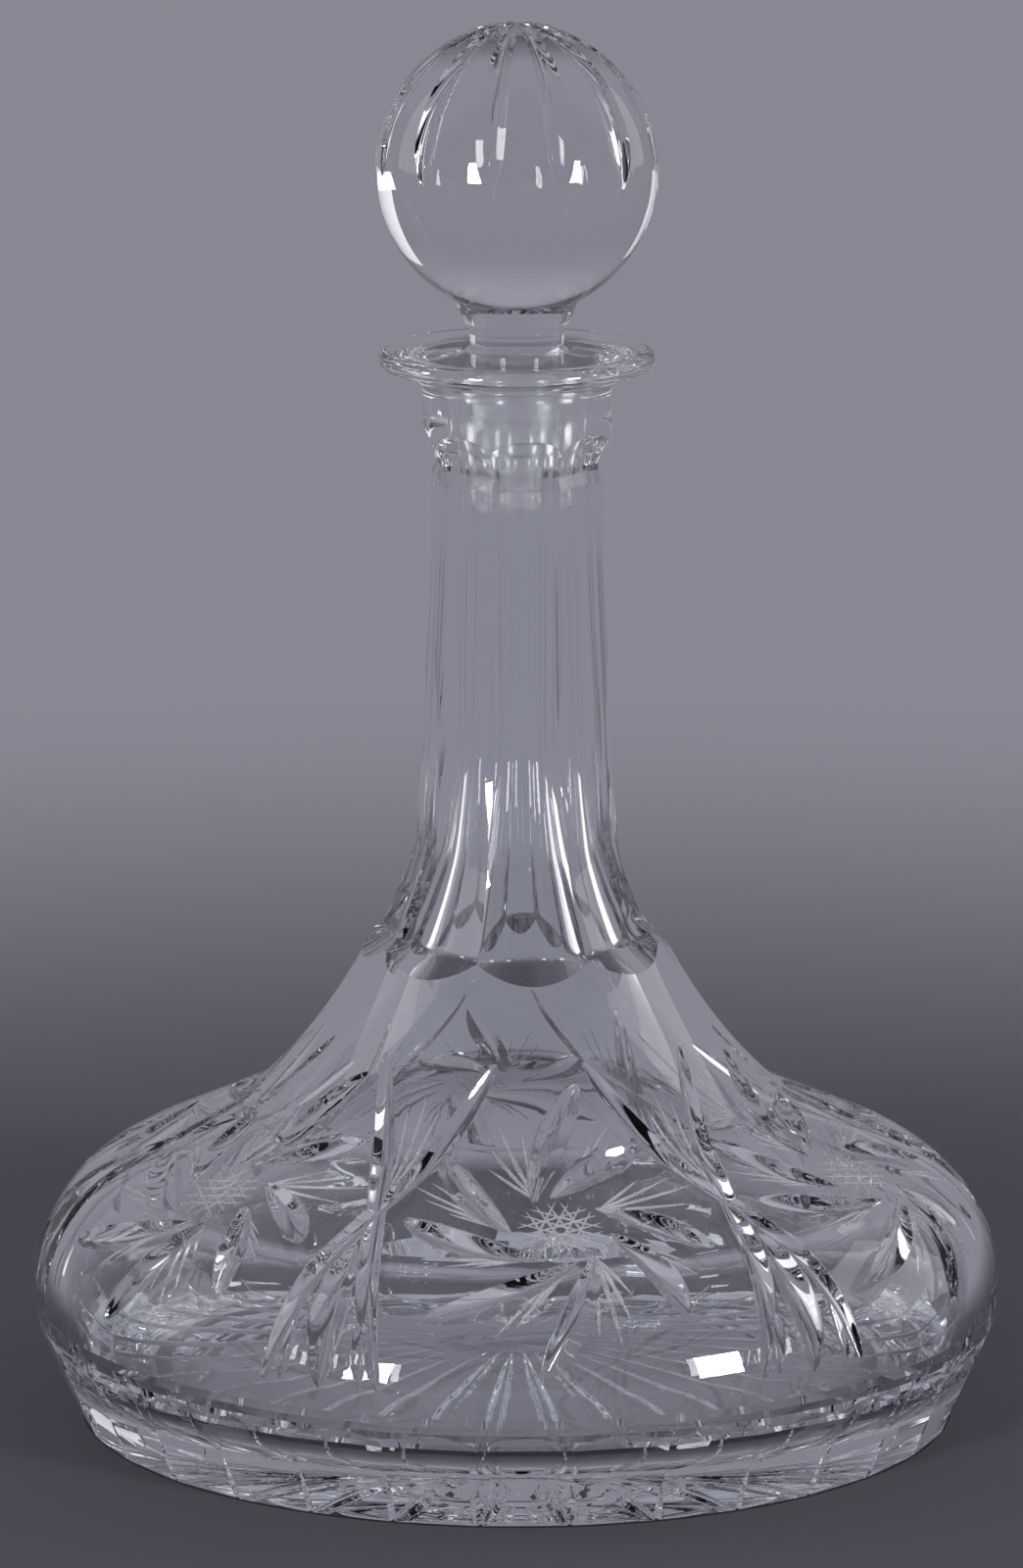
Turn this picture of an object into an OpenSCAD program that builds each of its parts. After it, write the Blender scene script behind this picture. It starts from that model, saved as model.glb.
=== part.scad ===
// Ships decanter: a wide, low cut-glass bottle with a fluted neck and a ball stopper.
// Millimetres. Z is up, the foot rests on z = 0, and the front of the pattern faces -Y.

/* [Body] */
// Width of the bottle across its widest ring
body_width = 190; // [170:1:210]
// Height of the widest ring above the foot
edge_height = 25; // [22:0.5:30]
// Radius of the rounded edge of the bowl
edge_radius = 28; // [25:0.5:32]
// Lean of the lower wall from upright, in degrees
wall_lean = 24; // [16:0.5:28]
// Slope of the shoulder from level, in degrees
shoulder_slope = 24.6; // [20:0.2:30]
// Width of the ring where the shoulder turns up into the flare
flare_width = 107; // [96:1:116]
// Radius of the flare between shoulder and neck
flare_radius = 105; // [90:1:120]

/* [Neck] */
// Width of the neck before it is cut
neck_width = 36.6; // [33:0.2:40]
// Height of the top of the lip
lip_height = 211; // [195:1:225]
// Width of the lip
lip_width = 53.4; // [48:0.2:60]
// Thickness of the lip at its rim
lip_thickness = 3.6; // [2.8:0.1:5]
// Radius of the hollow under the lip
lip_hollow = 5.6; // [3.5:0.1:6]
// Depth of the eased edge of the mouth
mouth_ease = 1.4; // [0.8:0.1:2.5]

/* [Inside] */
// Thickness of the bowl's wall
bowl_wall = 6; // [5:0.5:8]
// Thickness of the floor of the bowl
floor_thickness = 9; // [7:0.5:12]
// Distance inwards from the outer flare ring to the inner one
flare_shift = 4; // [3:0.5:6]

/* [Stopper] */
// Width of the ball
ball_width = 54.6; // [50:0.2:60]
// Height of the whole ball
ball_height = 57.2; // [52:0.2:62]
// Height of the middle of the ball above the lip
ball_rise = 35; // [33:0.5:40]
// Width of the collar under the ball
collar_width = 24; // [22:0.2:28]
// Width of the underside of the collar
collar_foot_width = 20.6; // [20:0.2:22]
// Height of the collar's underside above the lip
collar_rise = 5.5; // [3:0.5:8]
// Width of the ground peg at the collar
peg_width = 18.6; // [17:0.2:20]
// Length of the ground peg
peg_length = 36; // [30:1:42]
// Taper of the peg on each side, in degrees
peg_taper = 2.4; // [1.5:0.1:3]
// Clearance all round between the peg and the ground seat
seat_gap = 0.15; // [0.1:0.05:0.3]
// Turn of the stopper about its own axis, in degrees
stopper_turn = 12; // [0:1:29]

/* [Cutting] */
// Hollow flutes round the neck
neck_flutes = 8; // [6:2:10]
// Radius of the hollow in a neck flute
flute_radius = 30; // [24:1:36]
// Growth of that radius from the top of a flute to its foot
flute_spread = 0.4; // [0.2:0.1:1]
// Depth of a neck flute at its deepest
flute_depth = 3.9; // [3:0.1:4.5]
// Lean of the neck flutes, in degrees
flute_lean = 2.7; // [2:0.1:3.5]
// Length of the plain band left between the lip and the flutes
band_length = 15; // [12:0.5:18]
// Rise of the flutes' lower ends above the flare ring
flute_end = 30; // [24:1:36]
// Flat panels round the foot
foot_panels = 32; // [24:2:40]
// Depth of a foot panel at its middle
panel_depth = 0.8; // [0.5:0.1:1.2]
// Pinwheels round the shoulder
pinwheels = 6; // [5:1:7]
// Blades in a pinwheel
blades = 8; // [6:2:10]
// Distance of the pinwheel's middle up the shoulder from the rounded edge
pinwheel_rise = 8.2; // [6:0.2:10]
// Radius of the ring that the blades start from
blade_start = 9.5; // [8:0.5:12]
// Radius that the blades reach
blade_reach = 31; // [26:0.5:34]
// Bearing of the first blade's tip, in degrees
blade_turn = 85; // [80:1:90]
// Turn from a blade's tip back to its start, in degrees
blade_swirl = 62; // [45:1:70]
// Depth of a blade at its middle
blade_depth = 1.4; // [1:0.1:1.8]
// Depth of the long crossed cuts
cross_depth = 1.6; // [1.2:0.1:2]
// Half spread of the crossed cuts at their ends
cross_spread = 11.6; // [9:0.2:13]
// Length by which the upper and lower strokes pass the crossing
cross_lap = 8; // [6:0.5:10]
// Half angle of the mitre groove, in degrees
mitre_angle = 65; // [60:1:70]
// Leaf-shaped cuts over the ball
ball_leaves = 12; // [10:1:14]
// Depth of a leaf on the ball
leaf_depth = 1.15; // [0.8:0.05:1.4]

/* [Hidden] */
$fn = 120;
// Bands that make up the rounded edge and the flare
edge_bands = 16;
flare_bands = 12;

body_r = body_width / 2;
neck_r = neck_width / 2;
lip_r = lip_width / 2;
degrees = 180 / PI;

// Outline of the blank: the edge circle, its two tangent points and the flare ring.
edge_c = [body_r - edge_radius, edge_height];
wall_top = edge_c + edge_radius * [cos(wall_lean), -sin(wall_lean)];
foot_r = wall_top[0] - wall_top[1] * tan(wall_lean);
cap_foot = edge_c + edge_radius * [sin(shoulder_slope), cos(shoulder_slope)];
flare_ring = [flare_width / 2, cap_foot[1] + (cap_foot[0] - flare_width / 2) * tan(shoulder_slope)];
flare_c = flare_centre(flare_ring, neck_r);
cap_length = norm(flare_ring - cap_foot);

// The same outline one wall further in.
inner_r = edge_radius - bowl_wall;
inner_cap_foot = edge_c + inner_r * [sin(shoulder_slope), cos(shoulder_slope)];
inner_ring_r = flare_width / 2 - flare_shift;
inner_ring = [inner_ring_r, inner_cap_foot[1] + (inner_cap_foot[0] - inner_ring_r) * tan(shoulder_slope)];
floor_r = edge_c[0] + sqrt(max(0, inner_r * inner_r - pow(edge_height - floor_thickness, 2)));

// The ground peg and the seat that takes it.
peg_top = lip_height + collar_rise;
peg_end = peg_top - peg_length;
peg_r = peg_width / 2;
bore_r = peg_radius(peg_end) + seat_gap;
inner_flare_c = flare_centre(inner_ring, bore_r);
mouth_r = peg_radius(lip_height) + seat_gap + mouth_ease * 0.8;

// The ball's outline is one arc whose centre stands a little across the axis.
ball_z = lip_height + ball_rise;
ball_across = (pow(ball_height / 2, 2) - pow(ball_width / 2, 2)) / ball_width;
ball_arc = ball_width / 2 + ball_across;
collar_r = collar_width / 2;

// Neck flutes: depth at the top, and the heights at which their round ends begin.
flute_floor = neck_r - flute_depth;
flute_top = lip_height - band_length;
flute_run = sqrt(pow(flute_radius, 2) - pow(flute_radius - flute_depth, 2));
flute_high = flute_top - flute_run;
flute_foot = flare_ring[1] + flute_end;
flute_foot_r = flare_c[0] - sqrt(pow(flare_radius, 2) - pow(flare_c[1] - flute_foot, 2));
flute_low_floor = flute_floor + (flute_high - flute_foot) * tan(flute_lean);
flute_rise = flute_foot_r - flute_low_floor;
flute_foot_radius = flute_radius + flute_spread;
flute_low = flute_foot + sqrt(pow(flute_foot_radius, 2) - pow(flute_foot_radius - flute_rise, 2));

// Runs up the shoulder, measured from the rounded edge, of the crossed cuts.
cross_top = cap_length + 22;
cross_foot = -edge_radius;
cross_mid = pinwheel_rise + 4.5;

function flare_centre(ring, r) =
    [r + flare_radius, ring[1] + sqrt(pow(flare_radius, 2) - pow(r + flare_radius - ring[0], 2))];

function peg_radius(z) = peg_r - (peg_top - z) * tan(peg_taper);

function unit(v) = v / norm(v);

// Radius and height on the blank's outside at a run up from the rounded edge.
function run_point(t) =
    t < 0 ? edge_c + edge_radius * run_turn(90 - shoulder_slope + t / edge_radius * degrees)
    : t < cap_length ? cap_foot + t * [-cos(shoulder_slope), sin(shoulder_slope)]
    : flare_c + flare_radius * run_turn(flare_start() - (t - cap_length) / flare_radius * degrees);

// Direction square to the glass at that run.
function run_normal(t) =
    t < 0 ? run_turn(90 - shoulder_slope + t / edge_radius * degrees)
    : t < cap_length ? [sin(shoulder_slope), cos(shoulder_slope)]
    : -run_turn(flare_start() - (t - cap_length) / flare_radius * degrees);

function run_turn(a) = [cos(a), sin(a)];

function flare_start() =
    360 + atan2(flare_ring[1] - flare_c[1], flare_ring[0] - flare_c[0]);

function around(p, a) = [p[0] * sin(a), -p[0] * cos(a), p[1]];

// A place on the shoulder: across and up from a point at a bearing.
function place(bearing, across, run) =
    around(run_point(run), bearing + across / run_point(run)[0] * degrees);

function square_to(bearing, across, run) =
    around(run_normal(run), bearing + across / run_point(run)[0] * degrees);

// One mitre cut, left by a wheel that enters at one point and leaves at another.
module mitre(from, to, middle, normal, depth) {
    span = norm(to - from);
    along = (to - from) / span;
    up = unit(normal - (normal * along) * along);
    chord = (from + to) / 2;
    sag = (middle - chord) * up - depth;
    bow = sag < 0 ? min(sag, -0.15) : max(sag, 0.15);
    side = bow < 0 ? -1 : 1;
    wheel = (span * span / 4 + bow * bow) / (2 * abs(bow));
    centre = chord + up * (bow - side * wheel);
    sweep = 2 * asin(min(1, span / 2 / wheel)) * 1.06;
    rise = depth + 0.9;
    spread = rise * tan(mitre_angle);
    ahead = side * up;
    axis = cross(ahead, along);
    multmatrix([
        [ahead[0], along[0], axis[0], centre[0]],
        [ahead[1], along[1], axis[1], centre[1]],
        [ahead[2], along[2], axis[2], centre[2]],
        [0, 0, 0, 1]
    ])
        rotate([0, 0, -sweep / 2])
            rotate_extrude(angle = sweep, $fn = ceil(360 / sweep * 6))
                polygon([[wheel, 0], [wheel + side * rise, spread], [wheel + side * rise, -spread]]);
}

// A mitre cut between two places on the shoulder, each given as across and run.
module shoulder_mitre(bearing, from, to, depth) {
    middle = (from + to) / 2;
    mitre(
        place(bearing, from[0], from[1]),
        place(bearing, to[0], to[1]),
        place(bearing, middle[0], middle[1]),
        square_to(bearing, middle[0], middle[1]),
        depth
    );
}

// Every second blade of the pinwheels: blades leave a small ring on the same slant.
module blade_cuts(first) {
    hub = [0, pinwheel_rise];
    for (wheel = [0 : pinwheels - 1])
        for (i = [first : 2 : blades - 1])
            shoulder_mitre(
                wheel * 360 / pinwheels,
                hub + blade_start * run_turn(blade_turn + i * 360 / blades + blade_swirl),
                hub + blade_reach * run_turn(blade_turn + i * 360 / blades),
                blade_depth
            );
}

// The long cuts that cross between pinwheels: upper strokes on one slant, then lower ones.
module upper_strokes(hand) {
    for (i = [0 : pinwheels - 1])
        shoulder_mitre(
            (i + 0.5) * 360 / pinwheels,
            [hand * cross_spread, cross_top],
            [-hand * cross_lap * 0.28, cross_mid - cross_lap],
            cross_depth
        );
}

module lower_strokes(hand) {
    for (i = [0 : pinwheels - 1])
        shoulder_mitre(
            (i + 0.5) * 360 / pinwheels,
            [hand * cross_lap * 0.28, cross_mid + cross_lap],
            [-hand * cross_spread, cross_foot],
            cross_depth
        );
}

// Every second flute of the neck, starting from the first or the second.
module flute_cuts(first) {
    for (i = [first : 2 : neck_flutes - 1])
        rotate([0, 0, i * 360 / neck_flutes]) neck_flute();
}

// One neck flute: a round bar with round ends, leaning with the neck and a little wider at its foot.
module neck_flute() {
    length = flute_high - flute_low;
    lean = flute_lean + atan(flute_spread / length);
    translate([0, -flute_floor - flute_radius, flute_high])
        rotate([180 - lean, 0, 0])
            rotate_extrude($fn = 72)
                union() {
                    polygon([[0, 0], [flute_radius, 0], [flute_foot_radius, length], [0, length]]);
                    translate([0, length]) quarter_disc(flute_foot_radius);
                    mirror([0, 1]) quarter_disc(flute_radius);
                }
}

module quarter_disc(r) {
    intersection() {
        circle(r);
        square(r);
    }
}

// Every second flat panel of the lower wall, starting from the first or the second.
module panel_cuts(first) {
    step = 360 / foot_panels;
    wide = 2.4 * body_r * sin(step / 2);
    for (i = [first : 2 : foot_panels - 1])
        rotate([0, 0, (i + 0.5) * step])
            translate([-wide / 2, panel_depth - foot_r, 0])
                rotate([wall_lean, 0, 0])
                    translate([0, -10, -10]) cube([wide, 10, 2 * edge_height]);
}

// Half section of the blank, from the foot to the lip. Its round stretches are close bands.
module blank_section() {
    edge_arc = 90 - shoulder_slope + wall_lean;
    flare_arc = flare_start() - 180;
    neck_end = lip_height - lip_thickness / 2;
    polygon(concat(
        [[0, 0], [foot_r, 0]],
        [for (i = [0 : edge_bands]) edge_c + edge_radius * run_turn(i * edge_arc / edge_bands - wall_lean)],
        [for (i = [0 : flare_bands]) flare_c + flare_radius * run_turn(180 + flare_arc * (1 - i / flare_bands))],
        [[neck_r, neck_end], [0, neck_end]]
    ));
    lip_section();
}

// The rounded edge between two points on its circle.
module edge_section(r, low, high) {
    intersection() {
        translate(edge_c) circle(r);
        polygon([edge_c, edge_c + 3 * (low - edge_c), [3 * body_r, edge_height], edge_c + 3 * (high - edge_c)]);
    }
}

// The flare, from a little inside the shoulder up to the neck.
module flare_section(ring, centre) {
    difference() {
        translate([0, ring[1] - bowl_wall]) square([ring[0], centre[1] - ring[1] + bowl_wall]);
        translate(centre) circle(flare_radius);
    }
}

// The lip, with a round rim and a hollow underneath.
module lip_section() {
    rim = lip_thickness / 2;
    under = lip_height - lip_thickness;
    difference() {
        translate([0, under - lip_hollow]) square([neck_r + lip_hollow, lip_thickness + lip_hollow]);
        translate([neck_r + lip_hollow, under - lip_hollow]) circle(lip_hollow);
    }
    translate([0, under]) square([lip_r - rim, lip_thickness]);
    translate([lip_r - rim, lip_height - rim]) circle(rim);
}

// Half section of the hollow: bowl, flare, bore, ground seat and eased mouth.
module hollow_section() {
    floor_edge = [floor_r, floor_thickness];
    polygon([[0, floor_thickness], floor_edge, inner_cap_foot, inner_ring, [0, inner_ring[1]]]);
    edge_section(inner_r, floor_edge, inner_cap_foot);
    flare_section(inner_ring, inner_flare_c);
    polygon([
        [0, inner_ring[1]],
        [bore_r, inner_ring[1]],
        [bore_r, peg_end],
        [peg_radius(lip_height - mouth_ease) + seat_gap, lip_height - mouth_ease],
        [mouth_r, lip_height],
        [mouth_r, lip_height + 1],
        [0, lip_height + 1]
    ]);
}

// Half section of the stopper: peg, flared collar and ball.
module stopper_section() {
    collar_z = ball_z - sqrt(pow(ball_arc, 2) - pow(collar_r + ball_across, 2));
    polygon([
        [0, peg_end],
        [peg_radius(peg_end), peg_end],
        [peg_r, peg_top],
        [collar_foot_width / 2, peg_top],
        [collar_r, collar_z],
        [0, collar_z]
    ]);
    intersection() {
        translate([-ball_across, ball_z]) circle(ball_arc);
        translate([0, collar_z]) square([ball_width, ball_height]);
    }
}

// A leaf-shaped cut down the ball, from close to the pole to just under the middle.
module ball_leaf() {
    mitre(ball_place(84), ball_place(-5), ball_place(39), [0, -cos(39), sin(39)], leaf_depth);
}

function ball_place(a) =
    [0, ball_across - ball_arc * cos(a), ball_z + ball_arc * sin(a)];

// Takes two sets of cuts, one after the other, out of a first child.
module cut_in_turn() {
    difference() {
        difference() {
            children(0);
            children(1);
        }
        children(2);
    }
}

module hollow_blank() {
    difference() {
        rotate_extrude() blank_section();
        rotate_extrude() hollow_section();
    }
}

module panelled_blank() {
    cut_in_turn() {
        hollow_blank();
        panel_cuts(0);
        panel_cuts(1);
    }
}

module fluted_blank() {
    cut_in_turn() {
        panelled_blank();
        flute_cuts(0);
        flute_cuts(1);
    }
}

module pinwheel_blank() {
    cut_in_turn() {
        fluted_blank();
        blade_cuts(0);
        blade_cuts(1);
    }
}

module decanter() {
    color([0.86, 0.92, 0.93])
        cut_in_turn() {
            cut_in_turn() {
                pinwheel_blank();
                upper_strokes(1);
                upper_strokes(-1);
            }
            lower_strokes(1);
            lower_strokes(-1);
        }
}

module stopper() {
    color([0.90, 0.94, 0.95])
        difference() {
            rotate_extrude() stopper_section();
            for (i = [0 : ball_leaves - 1])
                rotate([0, 0, stopper_turn + i * 360 / ball_leaves]) ball_leaf();
        }
}

decanter();
stopper();
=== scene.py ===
import math
import bpy
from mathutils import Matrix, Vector


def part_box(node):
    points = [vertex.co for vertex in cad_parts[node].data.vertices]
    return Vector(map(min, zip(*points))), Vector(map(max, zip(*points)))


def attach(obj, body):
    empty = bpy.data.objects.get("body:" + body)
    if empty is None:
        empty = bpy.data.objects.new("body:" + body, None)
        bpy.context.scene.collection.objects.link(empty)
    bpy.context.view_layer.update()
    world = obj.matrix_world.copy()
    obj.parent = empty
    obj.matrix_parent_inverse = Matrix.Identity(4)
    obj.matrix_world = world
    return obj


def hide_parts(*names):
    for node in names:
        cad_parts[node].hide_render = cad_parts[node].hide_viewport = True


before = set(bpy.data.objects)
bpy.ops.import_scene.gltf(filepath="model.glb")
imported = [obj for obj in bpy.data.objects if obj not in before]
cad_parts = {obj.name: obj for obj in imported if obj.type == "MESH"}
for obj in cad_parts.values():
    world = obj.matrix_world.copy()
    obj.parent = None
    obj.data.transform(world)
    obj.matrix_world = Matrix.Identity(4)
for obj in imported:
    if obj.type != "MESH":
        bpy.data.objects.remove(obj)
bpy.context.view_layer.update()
bottleLow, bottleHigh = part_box("decanter")
stopperLow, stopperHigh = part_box("stopper")
mm = 0.001
weldReach = 0.000002
print("frame loaded, bottle", [round(v, 4) for v in bottleHigh])


# selection and mode helpers

def clearSelection():
    if bpy.context.object and bpy.context.object.mode != "OBJECT":
        bpy.ops.object.mode_set(mode="OBJECT")
    bpy.ops.object.select_all(action="DESELECT")


def makeActive(piece):
    clearSelection()
    piece.select_set(True)
    bpy.context.view_layer.objects.active = piece


def joinPieces(pieces):
    makeActive(pieces[0])
    for piece in pieces[1:]:
        piece.select_set(True)
    if len(pieces) > 1:
        bpy.ops.object.join()
    return bpy.context.object


# outlines as (radius, height) points

def turned(angle):
    return Vector((math.cos(math.radians(angle)), math.sin(math.radians(angle))))


def arcPoints(centre, radius, start, end, rows):
    return [Vector(centre) + radius * turned(start + (end - start) * i / rows) for i in range(rows + 1)]


def linePoints(start, end, rows):
    return [Vector(start).lerp(Vector(end), i / rows) for i in range(rows + 1)]


def bendPoints(start, corner, end, rows):  # a parabola inside a corner
    shares = [i / rows for i in range(rows + 1)]
    return [(1 - t) ** 2 * start + 2 * t * (1 - t) * corner + t * t * end for t in shares]


def softenCorner(points, corner, reach, rows):  # trims a corner and puts a bend in its place
    before = [p for p in points[:corner] if (p - points[corner]).length > reach]
    after = [p for p in points[corner + 1:] if (p - points[corner]).length > reach]
    start = points[corner] + (points[corner - 1] - points[corner]).normalized() * reach
    end = points[corner] + (points[corner + 1] - points[corner]).normalized() * reach
    return before + bendPoints(start, points[corner], end, rows) + after


def tidyOutline(points, least=0.00002):
    kept = [points[0]]
    for point in points[1:]:
        if (point - kept[-1]).length > least:
            kept.append(point)
    return kept


def spinOutline(name, points, segments):
    points = tidyOutline(points)
    clearSelection()
    bpy.ops.mesh.primitive_plane_add(size=mm, location=(0, 0, 0))
    piece = bpy.context.object
    piece.name = name
    bpy.ops.object.mode_set(mode="EDIT")
    bpy.ops.mesh.select_all(action="SELECT")
    bpy.ops.mesh.merge(type="CENTER")
    bpy.ops.transform.translate(value=(points[0].x, 0, points[0].y))
    for last, point in zip(points, points[1:]):
        step = point - last
        bpy.ops.mesh.extrude_region_move(TRANSFORM_OT_translate={"value": (step.x, 0, step.y)})
    bpy.ops.mesh.select_all(action="SELECT")
    bpy.ops.mesh.spin(steps=segments, angle=math.tau, center=(0, 0, 0), axis=(0, 0, 1))
    bpy.ops.mesh.select_all(action="SELECT")
    bpy.ops.mesh.remove_doubles(threshold=weldReach)
    bpy.ops.mesh.normals_make_consistent(inside=False)
    bpy.ops.object.mode_set(mode="OBJECT")
    return piece


# cutting: half sections of a cut, from its valley out, in shares of its half width and depth

roundedCut = [
    (0, 1), (0.12, 0.95), (0.28, 0.82), (0.46, 0.62), (0.64, 0.4), (0.8, 0.2), (0.92, 0.07),
    (1.0, 0.02), (1.12, -0.02), (1.25, -0.06), (1.25, -0.6),
]
pointedCut = [(0, 1), (1.4, -0.4)]
leastCut = 0.02 * mm
endLift = 1.2  # a stroke's end rows stand clear of the glass


def strokeShares(rows):  # places along a stroke, closer together at its ends
    return [(1 - math.cos(math.pi * i / rows)) / 2 for i in range(rows + 1)]


def swell(share, peak, rise, fall):  # depth along a stroke, nought at both ends and one at its peak
    if share < peak:
        return (1 - (1 - share / peak) ** 2) ** rise
    return (1 - ((share - peak) / (1 - peak)) ** 2) ** fall


def strokeTool(places, normals, look):  # the rim of a wheel, drawn along the glass
    section = look["section"] + [(-across, deep) for across, deep in reversed(look["section"][1:])]
    count = len(section)
    last = len(places) - 1
    clearSelection()
    bpy.ops.mesh.primitive_circle_add(vertices=count, radius=mm, fill_type="NGON", location=(0, 0, 0))
    tool = bpy.context.object
    bpy.ops.object.mode_set(mode="EDIT")
    bpy.ops.mesh.select_all(action="SELECT")
    for i in range(last):
        bpy.ops.mesh.extrude_region_move(TRANSFORM_OT_translate={"value": (0, 0, mm)})
    bpy.ops.object.mode_set(mode="OBJECT")
    flank = math.tan(math.radians(look["halfAngle"]))
    shares = strokeShares(last)
    for vertex in tool.data.vertices:
        row = round(vertex.co.z / mm)
        out, deep = section[round(math.atan2(vertex.co.x, vertex.co.y) / math.tau * count) % count]
        size = look["depth"] * swell(shares[row], look["peak"], look["rise"], look["fall"])
        if row in (0, last):
            size, deep = leastCut, deep - endLift
        along = places[min(row + 1, last)] - places[max(row - 1, 0)]
        across = normals[row].cross(along).normalized()
        vertex.co = places[row] + size * (out * flank * across - deep * normals[row])
    bpy.ops.object.mode_set(mode="EDIT")
    bpy.ops.mesh.select_all(action="SELECT")
    bpy.ops.mesh.normals_make_consistent(inside=False)
    bpy.ops.object.mode_set(mode="OBJECT")
    return tool


def ringOf(tool, count, first=0):  # copies round the bottle's axis, joined into one tool
    copies = [tool]
    for i in range(1, count):
        makeActive(tool)
        bpy.ops.object.duplicate(linked=False)
        copy = bpy.context.object
        copy.rotation_euler.z = math.tau * i / count
        bpy.ops.object.transform_apply(location=False, rotation=True, scale=False)
        copies.append(copy)
    tool = joinPieces(copies)
    if first:
        tool.rotation_euler.z = math.radians(first)
        bpy.ops.object.transform_apply(location=False, rotation=True, scale=False)
    return tool


def cutAway(piece, tool, finish):
    tool.data.materials.clear()
    tool.data.materials.append(finish)
    makeActive(piece)
    bpy.ops.object.modifier_add(type="BOOLEAN")
    cut = piece.modifiers[-1]
    cut.operation = "DIFFERENCE"
    cut.solver = "MANIFOLD"
    cut.material_mode = "TRANSFER"
    cut.object = tool
    bpy.ops.object.modifier_apply(modifier=cut.name)
    bpy.data.objects.remove(tool)


# materials

def newMaterial(name):
    material = bpy.data.materials.new(name)
    material.use_nodes = True
    return material, material.node_tree, material.node_tree.nodes["Principled BSDF"]


def addNode(tree, kind, **sockets):
    node = tree.nodes.new(kind)
    for socket, value in sockets.items():
        node.inputs[socket].default_value = value
    return node


def feed(tree, value, socket):  # a link from another node, or a plain value
    if isinstance(value, bpy.types.NodeSocket):
        tree.links.new(value, socket)
    else:
        socket.default_value = value


def addMath(tree, operation, first, second, clamp=False):
    node = addNode(tree, "ShaderNodeMath")
    node.operation = operation
    node.use_clamp = clamp
    feed(tree, first, node.inputs[0])
    feed(tree, second, node.inputs[1])
    return node.outputs["Value"]


def smoothFade(tree, value, start, end):
    node = addNode(tree, "ShaderNodeMapRange")
    node.interpolation_type = "SMOOTHSTEP"
    feed(tree, value, node.inputs["Value"])
    feed(tree, start, node.inputs["From Min"])
    feed(tree, end, node.inputs["From Max"])
    return node.outputs["Result"]


def mixTones(tree, share, first, second):
    node = addNode(tree, "ShaderNodeMix")
    node.data_type = "RGBA"
    feed(tree, share, node.inputs[0])
    feed(tree, first, node.inputs[6])  # the colour sockets of this node
    feed(tree, second, node.inputs[7])
    return node.outputs[2]


glassIndex = 1.545
noiseForm = {"smearDetail": 4.0, "smearRough": 0.6, "smearLow": 0.35, "smearHigh": 0.75, "waveDetail": 1.0}


def makeGlass(name, look):
    material, tree, shader = newMaterial(name)
    place = addNode(tree, "ShaderNodeTexCoord")
    smear = addNode(tree, "ShaderNodeTexNoise", Scale=look["smearScale"])
    smear.inputs["Detail"].default_value = noiseForm["smearDetail"]
    smear.inputs["Roughness"].default_value = noiseForm["smearRough"]
    tree.links.new(place.outputs["Object"], smear.inputs["Vector"])
    spread = addNode(tree, "ShaderNodeMapRange")
    spread.inputs["From Min"].default_value = noiseForm["smearLow"]
    spread.inputs["From Max"].default_value = noiseForm["smearHigh"]
    spread.inputs["To Min"].default_value = look["roughLow"]
    spread.inputs["To Max"].default_value = look["roughHigh"]
    tree.links.new(smear.outputs["Fac"], spread.inputs["Value"])
    tree.links.new(spread.outputs["Result"], shader.inputs["Roughness"])
    wave = addNode(tree, "ShaderNodeTexNoise", Scale=look["waveScale"], Detail=noiseForm["waveDetail"])
    tree.links.new(place.outputs["Object"], wave.inputs["Vector"])
    bump = addNode(tree, "ShaderNodeBump", Strength=look["waveStrength"], Distance=look["waveDepth"])
    tree.links.new(wave.outputs["Fac"], bump.inputs["Height"])
    tree.links.new(bump.outputs["Normal"], shader.inputs["Normal"])
    shader.inputs["Base Color"].default_value = look["tint"]
    shader.inputs["Transmission Weight"].default_value = look["clear"]
    shader.inputs["IOR"].default_value = glassIndex
    return material


clearGlass = makeGlass("clearGlass", {
    "tint": (0.965, 0.982, 1.0, 1.0),
    "clear": 1.0,
    "smearScale": 60.0,
    "roughLow": 0.0,
    "roughHigh": 0.02,
    "waveScale": 40.0,
    "waveStrength": 0.25,
    "waveDepth": 0.0004,
})
greyCut = makeGlass("greyCut", {  # fine wheel lines keep a grey, barely polished face
    "tint": (0.93, 0.94, 0.96, 1.0),
    "clear": 0.82,
    "smearScale": 900.0,
    "roughLow": 0.22,
    "roughHigh": 0.42,
    "waveScale": 1800.0,
    "waveStrength": 0.3,
    "waveDepth": 0.00005,
})
groundGlass = makeGlass("groundGlass", {  # the peg and its seat are ground to each other
    "tint": (0.97, 0.98, 0.985, 1.0),
    "clear": 0.96,
    "smearScale": 350.0,
    "roughLow": 0.12,
    "roughHigh": 0.22,
    "waveScale": 900.0,
    "waveStrength": 0.2,
    "waveDepth": 0.00005,
})
print("materials made")


# the bottle

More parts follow.
